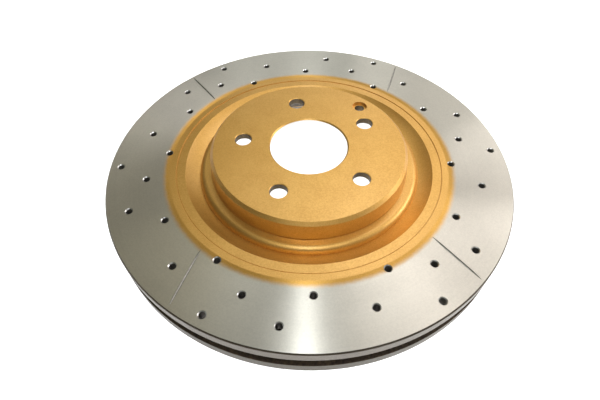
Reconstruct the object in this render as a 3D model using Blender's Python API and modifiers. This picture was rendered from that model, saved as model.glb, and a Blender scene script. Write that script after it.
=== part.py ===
"""Ventilated brake disc, cast in one piece, then turned, drilled and slotted.

The disc lies on its inboard friction face. The origin is the centre of that face and +Z is the
disc's own axis, towards the wheel. The casting is divided at its natural regions: the mounting
flange, the hat wall, the neck, the trough, the two friction rings and the cooling vanes between
them. Lengths are in metres, angles in degrees.
"""
import math

import bmesh
import bpy
from mathutils import Matrix

# Friction rings
DISC_RADIUS = 0.170
DISC_THICKNESS = 0.030
OUTBOARD_PLATE = 0.010
INBOARD_PLATE = 0.010
RIM_CHAMFER = 0.001
AIR_INLET = 0.0075
SWEPT_STEP_MARGIN = 0.0077
SWEPT_STEP_HEIGHT = 0.0004

# Hat and its mounting flange
HAT_STAND = 0.0162
HAT_RADIUS = 0.0825
HAT_FLARE = 0.0015
HAT_CHAMFER = 0.0026
HAT_WALL = 0.0070
WALL_RISE = 0.0010
FLANGE_THICKNESS = 0.0075
BORE_RADIUS = 0.0325
BORE_CHAMFER = 0.0010

# Wheel bolts and the retaining screw
BOLT_COUNT = 5
BOLT_CIRCLE_RADIUS = 0.0560
BOLT_HOLE_RADIUS = 0.0070
BOLT_HOLE_CHAMFER = 0.0005
BOLT_ANGLE = 30.2
SCREW_CIRCLE_RADIUS = 0.0689
SCREW_ANGLE = 48.4
SCREW_HOLE_RADIUS = 0.00425
SCREW_HEAD_RADIUS = 0.0065
SCREW_HEAD_DEPTH = 0.0025

# Neck and trough: the rounded bead at the foot of the hat wall and the trough beyond it
NECK_STRAIGHT = 0.0010
BEAD_REACH = 0.0096
BEAD_FALL = 0.0050
TROUGH_WIDTH = 0.0119
TROUGH_DEPTH = 0.0066
TROUGH_BEND = 8.0
NECK_WALL = 0.0070
BELL_FLARE = 0.0100

# Cooling vanes
VANE_COUNT = 42
VANE_THICKNESS = 0.0050
VANE_ANGLE = 0.6
VANE_RIM_MARGIN = 0.0040
VANE_INLET_MARGIN = 0.0010
VANE_CORNER = 0.0020

# Drilled holes: one hole in each row, the rows evenly spaced outwards, repeated in every sector
DRILL_SECTORS = 6
DRILL_RADIUS = 0.0025
DRILL_CHAMFER = 0.0005
DRILL_INNER_MARGIN = 0.0165
DRILL_RIM_MARGIN = 0.0096
DRILL_ROW_ANGLES = (58.1, 32.1, 11.4, 48.8, 23.5, 4.8)

# Wiping slots: the angle at the inner end and at the outer end, each pair half a turn apart
SLOT_PAIRS = ((50.7, 56.8), (139.4, 136.5))
SLOT_INNER_MARGIN = 0.0170
SLOT_RIM_MARGIN = 0.0030
SLOT_WIDTH = 0.0018
SLOT_DEPTH = 0.0012
SLOT_POINT = 0.0060

# Gap between neighbouring regions of the casting, and the fineness of the faceting
SEAM = 0.0003
CUT_MARGIN = 0.0020
ROUND_STEPS = 84
BEAD_STEPS = 6
HOLE_STEPS = 10
BOLT_HOLE_STEPS = 16
MERGE_DISTANCE = 0.00001
SHARP_ANGLE = 30.0

# Heights that follow from the sizes above
INBOARD_TOP = INBOARD_PLATE
OUTBOARD_BOTTOM = DISC_THICKNESS - OUTBOARD_PLATE
HAT_TOP = DISC_THICKNESS + HAT_STAND
FLANGE_BOTTOM = HAT_TOP - FLANGE_THICKNESS
WALL_TOP = FLANGE_BOTTOM + WALL_RISE
NECK_TOP = DISC_THICKNESS - SEAM
TROUGH_FLOOR = DISC_THICKNESS - TROUGH_DEPTH
NECK_BOTTOM = TROUGH_FLOOR - NECK_WALL

# The hat's wall widens from the chamfer to its foot, where the bead begins
WALL_EDGE = HAT_TOP - HAT_CHAMFER
WALL_FOOT = DISC_THICKNESS - NECK_STRAIGHT
WALL_FOOT_RADIUS = HAT_RADIUS + HAT_FLARE
HAT_INNER_RADIUS = HAT_RADIUS - HAT_WALL
HUB_FACE_RADIUS = HAT_INNER_RADIUS - SEAM
BEAD_RIM = WALL_FOOT_RADIUS + BEAD_REACH
OUTBOARD_INNER_RADIUS = BEAD_RIM + TROUGH_WIDTH

# The trough: one shallow arc from the foot of the bead up to the edge of the outboard ring
BAND_HEIGHT = DISC_THICKNESS - SWEPT_STEP_HEIGHT
TROUGH_INNER_RADIUS = BEAD_RIM + SEAM
TROUGH_REACH = OUTBOARD_INNER_RADIUS - SEAM

# Radii on the friction rings
INBOARD_INNER_RADIUS = OUTBOARD_INNER_RADIUS + AIR_INLET
SWEPT_STEP_RADIUS = OUTBOARD_INNER_RADIUS + SWEPT_STEP_MARGIN
DRILL_FIRST_ROW = OUTBOARD_INNER_RADIUS + DRILL_INNER_MARGIN
DRILL_LAST_ROW = DISC_RADIUS - DRILL_RIM_MARGIN
DRILL_ROW_STEP = (DRILL_LAST_ROW - DRILL_FIRST_ROW) / (len(DRILL_ROW_ANGLES) - 1)
SLOT_INNER_RADIUS = OUTBOARD_INNER_RADIUS + SLOT_INNER_MARGIN
SLOT_OUTER_RADIUS = DISC_RADIUS - SLOT_RIM_MARGIN

MACHINED_IRON = ("machined_iron", (0.52, 0.50, 0.46), 0.32, 1.0)
GOLD_COATING = ("gold_coating", (0.72, 0.45, 0.13), 0.42, 0.7)
RAW_CASTING = ("raw_casting", (0.16, 0.12, 0.08), 0.85, 0.3)


def clear_scene():
    """Remove every object that the file starts with."""
    for item in list(bpy.data.objects):
        bpy.data.objects.remove(item, do_unlink=True)


def new_collection(name):
    """Make a collection and link it into the scene."""
    collection = bpy.data.collections.new(name)
    bpy.context.scene.collection.children.link(collection)
    return collection


def new_material(name, colour, roughness, metallic):
    """Make a Principled material from a plain colour, a roughness and a metallic value."""
    material = bpy.data.materials.new(name)
    material.use_nodes = True
    shader = material.node_tree.nodes["Principled BSDF"]
    shader.inputs["Base Color"].default_value = (*colour, 1.0)
    shader.inputs["Roughness"].default_value = roughness
    shader.inputs["Metallic"].default_value = metallic
    return material


def add_object(name, mesh, collection):
    """Put a mesh into a collection as an object."""
    item = bpy.data.objects.new(name, mesh)
    collection.objects.link(item)
    return item


def on_circle(radius, angle):
    """The point at a radius and an angle, on the plane through the disc's axis."""
    turn = math.radians(angle)
    return radius * math.cos(turn), radius * math.sin(turn)


def arc(centre_radius, centre_height, radius, start, end, steps):
    """Points of an arc in the turning plane, from the start angle to the end angle."""
    points = []
    for step in range(steps + 1):
        across, up = on_circle(radius, start + (end - start) * step / steps)
        points.append((centre_radius + across, centre_height + up))
    return points


def turned(name, profile, collection):
    """Turn a closed profile of (radius, height) points about the disc's axis."""
    mesh = bpy.data.meshes.new(name)
    points = [(radius, 0.0, height) for radius, height in profile]
    loop = [(index, (index + 1) % len(points)) for index in range(len(points))]
    mesh.from_pydata(points, loop, [])
    item = add_object(name, mesh, collection)
    screw = item.modifiers.new("turning", "SCREW")
    screw.axis = "Z"
    screw.angle = math.tau
    screw.steps = ROUND_STEPS
    screw.render_steps = ROUND_STEPS
    screw.use_merge_vertices = True
    screw.merge_threshold = MERGE_DISTANCE
    screw.use_smooth_shade = False
    return item


def cut(item, cutter):
    """Cut one object with another through a Boolean."""
    boolean = item.modifiers.new(cutter.name, "BOOLEAN")
    boolean.operation = "DIFFERENCE"
    boolean.solver = "EXACT"
    boolean.object = cutter


def settle(item):
    """Give an object its cut shape as its own mesh, round faces smooth and edges sharp."""
    shape = item.evaluated_get(bpy.context.evaluated_depsgraph_get())
    mesh = bpy.data.meshes.new_from_object(shape)
    mesh.name = item.name
    item.modifiers.clear()
    item.data = mesh
    shade(mesh)


def shade(mesh):
    """Shade round faces smooth and keep the edges between surfaces sharp."""
    mesh.shade_smooth()
    mesh.set_sharp_from_angle(angle=math.radians(SHARP_ANGLE))


def new_cutter(name, shapes, collection):
    """Make one hidden cutter from upright cones, given as
    (centre x, centre y, low height, high height, low radius, high radius, sides)."""
    mesh = bpy.data.meshes.new(name)
    build = bmesh.new()
    for x, y, low, high, low_radius, high_radius, sides in shapes:
        place = Matrix.Translation((x, y, (low + high) / 2))
        bmesh.ops.create_cone(
            build,
            cap_ends=True,
            segments=sides,
            radius1=low_radius,
            radius2=high_radius,
            depth=high - low,
            matrix=place,
        )
    build.to_mesh(mesh)
    build.free()
    return hide(add_object(name, mesh, collection))


def hide(cutter):
    """Keep a cutter out of the model."""
    cutter.hide_render = True
    cutter.display_type = "WIRE"
    return cutter


def drill_places():
    """The centres of the drilled holes, row by row in every sector."""
    places = []
    for sector in range(DRILL_SECTORS):
        for row, row_angle in enumerate(DRILL_ROW_ANGLES):
            radius = DRILL_FIRST_ROW + row * DRILL_ROW_STEP
            places.append(on_circle(radius, row_angle + sector * 360.0 / DRILL_SECTORS))
    return places


def bolt_places():
    """The centres of the wheel-bolt holes."""
    pitch = 360.0 / BOLT_COUNT
    return [on_circle(BOLT_CIRCLE_RADIUS, BOLT_ANGLE + pitch * bolt) for bolt in range(BOLT_COUNT)]


def upward_chamfers(places, face, hole_radius, chamfer, sides):
    """Cones that break the edge of holes in a face that looks up."""
    wide = hole_radius + chamfer + CUT_MARGIN
    narrow = hole_radius
    low = face - chamfer
    high = face + CUT_MARGIN
    return [(x, y, low, high, narrow, wide, sides) for x, y in places]


def downward_chamfers(places, face, hole_radius, chamfer, sides):
    """Cones that break the edge of holes in a face that looks down."""
    wide = hole_radius + chamfer + CUT_MARGIN
    narrow = hole_radius
    low = face - CUT_MARGIN
    high = face + chamfer
    return [(x, y, low, high, wide, narrow, sides) for x, y in places]


def through_holes(places, low, high, radius, sides):
    """Straight holes from one height to another, past both."""
    bottom = low - CUT_MARGIN
    top = high + CUT_MARGIN
    return [(x, y, bottom, top, radius, radius, sides) for x, y in places]


def slot_outlines():
    """The pointed outline of every slot, as points in the plane of the disc."""
    outlines = []
    for inner_angle, outer_angle in SLOT_PAIRS:
        for half_turn in (0.0, 180.0):
            start_x, start_y = on_circle(SLOT_INNER_RADIUS, inner_angle + half_turn)
            end_x, end_y = on_circle(SLOT_OUTER_RADIUS, outer_angle + half_turn)
            length = math.hypot(end_x - start_x, end_y - start_y)
            along = ((end_x - start_x) / length, (end_y - start_y) / length)
            side = (-along[1] * SLOT_WIDTH / 2, along[0] * SLOT_WIDTH / 2)
            steps = ((0.0, 0), (SLOT_POINT, -1), (length - SLOT_POINT, -1))
            steps += ((length, 0), (length - SLOT_POINT, 1), (SLOT_POINT, 1))
            outline = []
            for travel, lean in steps:
                x = start_x + along[0] * travel + side[0] * lean
                y = start_y + along[1] * travel + side[1] * lean
                outline.append((x, y))
            outlines.append(outline)
    return outlines


def slot_cutter(name, low, high, collection):
    """One hidden cutter with the four slots, from one height to another."""
    mesh = bpy.data.meshes.new(name)
    build = bmesh.new()
    for outline in slot_outlines():
        corners = [build.verts.new((x, y, low)) for x, y in outline]
        floor = build.faces.new(corners)
        raised = bmesh.ops.extrude_face_region(build, geom=[floor])
        tops = [part for part in raised["geom"] if isinstance(part, bmesh.types.BMVert)]
        bmesh.ops.translate(build, verts=tops, vec=(0.0, 0.0, high - low))
    bmesh.ops.recalc_face_normals(build, faces=build.faces)
    build.to_mesh(mesh)
    build.free()
    return hide(add_object(name, mesh, collection))


def wall_radius(height):
    """The outer radius of the hat's wall at a height."""
    return HAT_RADIUS + HAT_FLARE * (WALL_EDGE - height) / (WALL_EDGE - WALL_FOOT)


def mounting_flange(parts, cutters):
    """The flat top of the hat, with the bore, the bolt holes and the screw hole. Its seat for
    the hub lies inside the hat wall, a little lower than the wall's top."""
    profile = [
        (HAT_RADIUS - HAT_CHAMFER, HAT_TOP),
        (HAT_RADIUS, WALL_EDGE),
        (wall_radius(WALL_TOP + SEAM), WALL_TOP + SEAM),
        (HUB_FACE_RADIUS, WALL_TOP + SEAM),
        (HUB_FACE_RADIUS, FLANGE_BOTTOM),
        (BORE_RADIUS + BORE_CHAMFER, FLANGE_BOTTOM),
        (BORE_RADIUS, FLANGE_BOTTOM + BORE_CHAMFER),
        (BORE_RADIUS, HAT_TOP - BORE_CHAMFER),
        (BORE_RADIUS + BORE_CHAMFER, HAT_TOP),
    ]
    flange = turned("mounting_flange", profile, parts)
    bolts = bolt_places()
    screw = [on_circle(SCREW_CIRCLE_RADIUS, SCREW_ANGLE)]
    holes = through_holes(bolts, FLANGE_BOTTOM, HAT_TOP, BOLT_HOLE_RADIUS, BOLT_HOLE_STEPS)
    holes += through_holes(screw, FLANGE_BOTTOM, HAT_TOP, SCREW_HOLE_RADIUS, BOLT_HOLE_STEPS)
    cut(flange, new_cutter("flange_holes", holes, cutters))
    edges = upward_chamfers(bolts, HAT_TOP, BOLT_HOLE_RADIUS, BOLT_HOLE_CHAMFER, BOLT_HOLE_STEPS)
    seat_floor = HAT_TOP - SCREW_HEAD_DEPTH
    seat_top = HAT_TOP + CUT_MARGIN
    x, y = screw[0]
    edges.append((x, y, seat_floor, seat_top, SCREW_HEAD_RADIUS, SCREW_HEAD_RADIUS, BOLT_HOLE_STEPS))
    cut(flange, new_cutter("flange_hole_mouths", edges, cutters))
    return flange


def hat_wall(parts):
    """The wall of the hat, between the flange and the neck, a little wider at its foot."""
    profile = [
        (wall_radius(WALL_TOP), WALL_TOP),
        (wall_radius(DISC_THICKNESS), DISC_THICKNESS),
        (HAT_INNER_RADIUS, DISC_THICKNESS),
        (HAT_INNER_RADIUS, WALL_TOP),
    ]
    return turned("hat_wall", profile, parts)


def neck(parts):
    """The rounded bead that carries the hat, with the bell's flared inside. The bead's section
    is a quarter of an ellipse, level at the wall and upright at its rim."""
    profile = [(wall_radius(NECK_TOP), NECK_TOP)]
    for step in range(BEAD_STEPS + 1):
        across, up = on_circle(1.0, 90.0 - 90.0 * step / BEAD_STEPS)
        radius = WALL_FOOT_RADIUS + BEAD_REACH * across
        height = WALL_FOOT - BEAD_FALL + BEAD_FALL * up
        profile.append((radius, height))
    profile += [
        (BEAD_RIM, NECK_BOTTOM),
        (HAT_INNER_RADIUS + BELL_FLARE, NECK_BOTTOM),
        (HAT_INNER_RADIUS, NECK_BOTTOM + BELL_FLARE),
        (HAT_INNER_RADIUS, NECK_TOP),
    ]
    return turned("neck", profile, parts)


def bowed(start, end, bend, steps):
    """Points from a start to an end along an arc that sags, leaving the straight line between
    them by the bend angle at both ends."""
    run = end[0] - start[0]
    rise = end[1] - start[1]
    chord = math.hypot(run, rise)
    radius = chord / (2 * math.sin(math.radians(bend)))
    lean = math.degrees(math.atan2(rise, run))
    across, up = on_circle(radius, lean - bend - 90.0)
    first = lean - bend - 90.0
    return arc(start[0] - across, start[1] - up, radius, first, first + 2 * bend, steps)


def trough(parts):
    """The shallow trough that joins the neck to the outboard friction ring."""
    foot = (TROUGH_INNER_RADIUS, TROUGH_FLOOR)
    profile = bowed(foot, (TROUGH_REACH, BAND_HEIGHT - SEAM / 2), TROUGH_BEND, 3)
    profile += [
        (TROUGH_REACH, OUTBOARD_BOTTOM),
        (TROUGH_INNER_RADIUS, NECK_BOTTOM),
    ]
    return turned("trough", profile, parts)


def outboard_friction_ring(parts):
    """The friction ring on the wheel's side, with the trough's edge inside it."""
    profile = [
        (DISC_RADIUS - RIM_CHAMFER, DISC_THICKNESS),
        (DISC_RADIUS, DISC_THICKNESS - RIM_CHAMFER),
        (DISC_RADIUS, OUTBOARD_BOTTOM),
        (OUTBOARD_INNER_RADIUS, OUTBOARD_BOTTOM),
        (OUTBOARD_INNER_RADIUS, BAND_HEIGHT),
        (SWEPT_STEP_RADIUS, BAND_HEIGHT),
        (SWEPT_STEP_RADIUS, DISC_THICKNESS),
    ]
    return turned("outboard_friction_ring", profile, parts)


def inboard_friction_ring(parts):
    """The friction ring on the car's side, which the disc lies on."""
    profile = [
        (DISC_RADIUS, INBOARD_TOP),
        (DISC_RADIUS, RIM_CHAMFER),
        (DISC_RADIUS - RIM_CHAMFER, 0.0),
        (INBOARD_INNER_RADIUS, 0.0),
        (INBOARD_INNER_RADIUS, INBOARD_TOP),
    ]
    return turned("inboard_friction_ring", profile, parts)


def drill_and_slot(outboard, inboard, cutters):
    """Drill both friction rings in one pass, break the holes' edges and cut the slots."""
    places = drill_places()
    holes = through_holes(places, 0.0, DISC_THICKNESS, DRILL_RADIUS, HOLE_STEPS)
    drill = new_cutter("drilled_holes", holes, cutters)
    mouths = upward_chamfers(places, DISC_THICKNESS, DRILL_RADIUS, DRILL_CHAMFER, HOLE_STEPS)
    cut(outboard, drill)
    cut(outboard, new_cutter("outboard_hole_mouths", mouths, cutters))
    floor = DISC_THICKNESS - SLOT_DEPTH
    cut(outboard, slot_cutter("outboard_slots", floor, DISC_THICKNESS + CUT_MARGIN, cutters))
    mouths = downward_chamfers(places, 0.0, DRILL_RADIUS, DRILL_CHAMFER, HOLE_STEPS)
    cut(inboard, drill)
    cut(inboard, new_cutter("inboard_hole_mouths", mouths, cutters))
    cut(inboard, slot_cutter("inboard_slots", -CUT_MARGIN, SLOT_DEPTH, cutters))


def vane_mesh():
    """One straight vane: a bar with rounded upright corners, lying along X about its centre."""
    inner = INBOARD_INNER_RADIUS + VANE_INLET_MARGIN
    outer = DISC_RADIUS - VANE_RIM_MARGIN
    height = OUTBOARD_BOTTOM - INBOARD_TOP - 2 * SEAM
    build = bmesh.new()
    bmesh.ops.create_cube(build, size=1.0)
    bmesh.ops.scale(build, verts=build.verts, vec=(outer - inner, VANE_THICKNESS, height))
    upright = [edge for edge in build.edges if edge.verts[0].co.z * edge.verts[1].co.z < 0.0]
    corner = min(VANE_CORNER, VANE_THICKNESS / 2 - SEAM)
    bmesh.ops.bevel(build, geom=upright, offset=corner, segments=2, profile=0.5, affect="EDGES")
    mesh = bpy.data.meshes.new("cooling_vane")
    build.to_mesh(mesh)
    build.free()
    shade(mesh)
    return mesh, (inner + outer) / 2


def cooling_vanes(parts):
    """The vanes, one object each, which share one mesh."""
    mesh, middle = vane_mesh()
    level = (INBOARD_TOP + OUTBOARD_BOTTOM) / 2
    vanes = []
    for index in range(VANE_COUNT):
        angle = VANE_ANGLE + index * 360.0 / VANE_COUNT
        vane = add_object(f"cooling_vane_{index + 1:02d}", mesh, parts)
        x, y = on_circle(middle, angle)
        vane.location = (x, y, level)
        vane.rotation_euler = (0.0, 0.0, math.radians(angle))
        vanes.append(vane)
    return vanes


def coat(items, finish):
    """Give pieces the material of their finish."""
    material = new_material(*finish)
    for mesh in {item.data for item in items}:
        mesh.materials.append(material)


def build_disc():
    """Make the whole disc."""
    clear_scene()
    parts = new_collection("brake_disc")
    cutters = new_collection("cutters")
    hat = [mounting_flange(parts, cutters), hat_wall(parts), neck(parts), trough(parts)]
    rings = [outboard_friction_ring(parts), inboard_friction_ring(parts)]
    drill_and_slot(*rings, cutters)
    for item in hat + rings:
        settle(item)
    vanes = cooling_vanes(parts)
    coat(hat, GOLD_COATING)
    coat(rings, MACHINED_IRON)
    coat(vanes, RAW_CASTING)
    axis = bpy.data.objects.new("disc_axis", None)
    parts.objects.link(axis)
    for item in hat + rings + vanes:
        item.parent = axis


build_disc()
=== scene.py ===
# %% [markdown]
# # A ventilated brake disc with a gold-coated hat
#
# A brake disc is one grey-iron casting. The raised hat in the middle bolts between the hub and the
# wheel, a rounded neck and a trough join it to the outboard friction ring, and short vanes hold a
# second ring below it. After casting, the working faces are turned on a lathe, drilled and slotted,
# and the middle is sprayed with a gold metallic coating.
#
# Nearly every surface here is a turned one, so this lesson makes each piece as an outline carried
# round the axis, cuts the holes with Booleans, and puts most of the care into three finishes:
# circular-turned iron, sprayed metallic coating and raw sand casting.

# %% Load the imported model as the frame
import math

import bmesh
import bpy
import numpy as np
from mathutils import Matrix, Vector


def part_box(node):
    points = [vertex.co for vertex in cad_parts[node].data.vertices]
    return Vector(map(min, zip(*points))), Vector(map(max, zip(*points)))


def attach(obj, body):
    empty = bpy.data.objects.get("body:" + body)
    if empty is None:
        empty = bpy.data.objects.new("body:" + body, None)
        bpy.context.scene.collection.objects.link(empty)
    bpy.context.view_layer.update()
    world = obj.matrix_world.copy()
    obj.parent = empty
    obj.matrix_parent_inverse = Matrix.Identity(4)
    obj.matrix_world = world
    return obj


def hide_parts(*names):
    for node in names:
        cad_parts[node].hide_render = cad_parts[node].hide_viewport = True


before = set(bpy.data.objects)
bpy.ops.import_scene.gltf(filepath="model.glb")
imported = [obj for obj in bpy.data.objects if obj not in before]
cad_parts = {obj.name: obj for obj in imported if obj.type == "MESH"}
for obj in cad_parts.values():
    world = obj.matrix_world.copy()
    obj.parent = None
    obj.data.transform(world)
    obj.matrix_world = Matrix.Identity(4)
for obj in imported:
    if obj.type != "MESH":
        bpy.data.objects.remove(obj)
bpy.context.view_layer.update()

MM = 0.001

# %% [markdown]
# ## Sizes
#
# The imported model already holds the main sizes, so they are read from the boxes of its nodes: the
# highest x of a ring is its radius, and the heights follow in the same way. Only what a box can't
# say, such as the radius of an edge, is a named value of its own in the step that uses it. The
# wall of the hat widens downwards, so its two radii are named here, at its chamfer and at its foot.

# %% Read the main sizes from the frame
flange_low, flange_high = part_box("mounting_flange")
wall_low, wall_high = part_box("hat_wall")
neck_low, neck_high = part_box("neck")
trough_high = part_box("trough")[1]
outboard_low, outboard_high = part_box("outboard_friction_ring")
inboard_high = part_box("inboard_friction_ring")[1]

DISC_RADIUS = outboard_high.x
FACE_HEIGHT = outboard_high.z
OUTBOARD_UNDERSIDE = outboard_low.z
INBOARD_TOP = inboard_high.z
HAT_RADIUS = 82.5 * MM
FOOT_RADIUS = 84.0 * MM
HAT_TOP = flange_high.z
HUB_SEAT = flange_low.z
WALL_TOP = wall_high.z
WALL_FOOT = wall_low.z
BEAD_RIM = neck_high.x
NECK_FOOT = neck_low.z
TROUGH_REACH = trough_high.x
print(f"disc radius {DISC_RADIUS / MM:.1f}, hat radius {HAT_RADIUS / MM:.1f}, "
      f"hat top {HAT_TOP / MM:.1f}, bead rim {BEAD_RIM / MM:.1f} mm")

# %% Read the inner radii, which a box can't show
def node_radii(name):
    """Smallest and largest distance of a node's corners from the disc's axis."""
    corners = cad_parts[name].data.vertices
    places = np.empty(len(corners) * 3, np.float32)
    corners.foreach_get("co", places)
    places = places.reshape(-1, 3)
    distance = np.hypot(places[:, 0], places[:, 1])
    return float(distance.min()), float(distance.max())


BORE_RADIUS = node_radii("mounting_flange")[0]
HAT_INNER_RADIUS = node_radii("hat_wall")[0]
RING_INNER_RADIUS = node_radii("outboard_friction_ring")[0]
INBOARD_INNER_RADIUS = node_radii("inboard_friction_ring")[0]
VANE_INNER, VANE_OUTER = node_radii("cooling_vane_01")
VANES = sorted(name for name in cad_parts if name.startswith("cooling_vane_"))
print(f"bore {BORE_RADIUS / MM:.2f}, hat inside {HAT_INNER_RADIUS / MM:.2f}, "
      f"outboard ring inside {RING_INNER_RADIUS / MM:.2f}, "
      f"inboard ring inside {INBOARD_INNER_RADIUS / MM:.2f} mm, {len(VANES)} vanes")

# %% [markdown]
# ## Camera
#
# The photograph looks down on the disc from the front at about 51 degrees, from close by, so the
# near side is much larger than the far side. The camera stands where the ellipses of the rim, the
# hat and the bore all fit, and it is turned by a third of a degree about its own view line.

# %% Set the camera
CAMERA_PLACE = Vector((0.0, -0.26247, 0.29472))
CAMERA_AIM = Vector((-0.00629, -0.04667, 0.0300))
CAMERA_ROLL = -0.34
CAMERA_LENS = 25.675
CAMERA_SENSOR = 36.0

view_line = CAMERA_AIM - CAMERA_PLACE
facing = view_line.to_track_quat("-Z", "Y").to_matrix()
roll = Matrix.Rotation(math.radians(CAMERA_ROLL), 3, "Z")
camera_data = bpy.data.cameras.new("camera")
camera_data.lens = CAMERA_LENS
camera_data.sensor_width = CAMERA_SENSOR
camera_data.sensor_fit = "HORIZONTAL"
camera_data.clip_start = 0.01
camera = bpy.data.objects.new("camera", camera_data)
camera.matrix_world = Matrix.Translation(CAMERA_PLACE) @ (facing @ roll).to_4x4()
bpy.context.scene.collection.objects.link(camera)
bpy.context.scene.camera = camera
print("camera", [round(value, 3) for value in CAMERA_PLACE], "lens", CAMERA_LENS)

# %% [markdown]
# ## Studio
#
# The disc lies on plain white paper inside a ring of soft panels. Metal shows what it reflects,
# so the panels are placed by what the face mirrors: a turned face sees, at each of its points, a
# whole arc of the room. A narrow strip high above draws the bright radial wedge, strong panels on
# the right make that side light, and hardly anything stands on the left, which falls off. Two
# panels over the camera light the slopes that face it: the small one draws the highlight on the
# bead, and the wide one lights the chamfer. The paper is a surface of its own to light: a sun that
# lights nothing else, and that nothing shades, brings it just past white, also inside the bore.

# %% Colours and light levels as they are shown
scene = bpy.context.scene
scene.view_settings.view_transform = "Standard"
scene.view_settings.look = "None"
scene.view_settings.exposure = 0.0
scene.view_settings.gamma = 1.0

world = bpy.data.worlds.new("studio")
world.use_nodes = True
scene.world = world
WORLD_COLOUR = (1.0, 0.97, 0.72)
WORLD_LEVEL = 0.08
background = world.node_tree.nodes["Background"]
background.inputs["Color"].default_value = (*WORLD_COLOUR, 1.0)
background.inputs["Strength"].default_value = WORLD_LEVEL
print("world level", WORLD_LEVEL)


# %% The lamps
DISC_CENTRE = Vector((0.0, 0.0, 0.03))
PANEL_DISTANCE = 1.2
SKY_WHITE = (0.90, 0.96, 1.0)
COOL_WHITE = (0.94, 1.0, 1.0)
WARM_WHITE = (1.0, 0.975, 0.965)
NEAR_WHITE = (0.93, 0.97, 1.0)
DIM_WARM = (1.0, 0.96, 0.74)


def seen_at(azimuth, elevation, distance=PANEL_DISTANCE):
    """The place at an azimuth and an elevation in degrees, as seen from the disc's centre."""
    level = math.cos(math.radians(elevation))
    direction = Vector((level * math.cos(math.radians(azimuth)),
                        level * math.sin(math.radians(azimuth)),
                        math.sin(math.radians(elevation))))
    return DISC_CENTRE + direction * distance


def lamp(name, place, width, depth, power, colour):
    """A rectangular soft lamp at a place, facing the disc, with its depth along the view up."""
    data = bpy.data.lights.new(name, "AREA")
    data.shape = "RECTANGLE"
    data.size = width
    data.size_y = depth
    data.energy = power
    data.color = colour
    item = bpy.data.objects.new(name, data)
    item.location = place
    item.rotation_euler = (DISC_CENTRE - Vector(place)).to_track_quat("-Z", "Y").to_euler()
    scene.collection.objects.link(item)
    return item


LAMPS = (
    ("strip_lamp", (-0.003, -0.30, 0.95), 0.09, 0.6, 1.31, SKY_WHITE),
    ("back_panel", seen_at(90, 28), 0.62, 0.5, 0.74, COOL_WHITE),
    ("back_right_panel", seen_at(65, 30), 0.62, 0.5, 0.8, WARM_WHITE),
    ("right_back_panel", seen_at(38, 30), 0.62, 0.5, 1.7, WARM_WHITE),
    ("right_panel", seen_at(10, 25), 0.62, 0.5, 4.9, WARM_WHITE),
    ("right_front_panel", seen_at(-20, 22), 0.62, 0.5, 0.7, WARM_WHITE),
    ("front_right_panel", seen_at(-55, 25), 0.62, 0.5, 0.12, WARM_WHITE),
    ("left_panel", seen_at(140, 30), 0.62, 0.5, 0.26, DIM_WARM),
    ("high_back_panel", seen_at(90, 58), 0.5, 0.4, 1.06, COOL_WHITE),
    ("high_right_panel", seen_at(60, 58), 0.5, 0.4, 1.7, WARM_WHITE),
    ("high_left_panel", seen_at(125, 58), 0.5, 0.4, 0.36, DIM_WARM),
    ("high_side_panel", seen_at(0, 55), 0.5, 0.4, 0.64, WARM_WHITE),
    ("near_panel", seen_at(-90, 57, 1.0), 0.25, 0.25, 1.1, NEAR_WHITE),
    ("front_panel", seen_at(-90, 44), 0.8, 0.45, 1.0, NEAR_WHITE),
    ("overhead_panel", (0.0, -0.30, 1.05), 0.35, 0.35, 0.56, SKY_WHITE),
    ("overhead_side_panel", (0.35, -0.15, 1.05), 0.3, 0.3, 0.21, WARM_WHITE),
    ("high_near_panel", seen_at(-45, 55), 0.5, 0.4, 0.45, WARM_WHITE),
)
lamps = [lamp(*settings) for settings in LAMPS]
print(len(lamps), "lamps")

# %% A light for the paper alone
PAPER_LIGHT = 3.8

lit_paper = bpy.data.collections.new("lit_paper")
paper_data = bpy.data.lights.new("paper_light", "SUN")
paper_data.energy = PAPER_LIGHT
paper_light = bpy.data.objects.new("paper_light", paper_data)
paper_light.light_linking.receiver_collection = lit_paper
paper_light.light_linking.blocker_collection = lit_paper
scene.collection.objects.link(paper_light)
print("the paper's own light", PAPER_LIGHT, "W/m2")

# %% The white paper
FLOOR_HALF = 3.0
floor_mesh = bpy.data.meshes.new("white_paper")
floor_corners = np.array([(-1, -1, 0), (1, -1, 0), (1, 1, 0), (-1, 1, 0)]) * FLOOR_HALF
floor_mesh.from_pydata(floor_corners.tolist(), [], [(0, 1, 2, 3)])
white_paper = bpy.data.objects.new("white_paper", floor_mesh)
scene.collection.objects.link(white_paper)
lit_paper.objects.link(white_paper)
print("paper", 2 * FLOOR_HALF, "m wide")


# %% [markdown]
# ## Building finishes from nodes
#
# Each finish is one Principled shader whose colour, roughness and relief come from noise that
# reads the piece's own coordinates. A small helper adds a node and fills its sockets, so that a
# finish reads like a recipe. Most of the patterns depend on the distance from the disc's axis,
# because a lathe and a spray gun both work round it. Lengths in a finish are metres, and a noise
# is given in waves per metre.

# %% Helpers for finishes
def put(tree, kind, sockets=None, **settings):
    """Add a shader node. Settings are its own options; sockets are filled by name or number with
    a constant, or linked when the value is another node's socket."""
    node = tree.nodes.new(kind)
    for option, value in settings.items():
        setattr(node, option, value)
    for socket, value in (sockets or {}).items():
        if isinstance(value, bpy.types.NodeSocket):
            tree.links.new(value, node.inputs[socket])
        else:
            node.inputs[socket].default_value = value
    return node


def new_finish(name):
    """An empty material with its tree and its Principled shader."""
    material = bpy.data.materials.new(name)
    material.use_nodes = True
    tree = material.node_tree
    return material, tree, tree.nodes["Principled BSDF"]


def maths(tree, operation, first, second=0.0, third=0.0):
    """One step of arithmetic on numbers or sockets."""
    node = put(tree, "ShaderNodeMath", {0: first, 1: second, 2: third}, operation=operation)
    return node.outputs[0]


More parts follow.
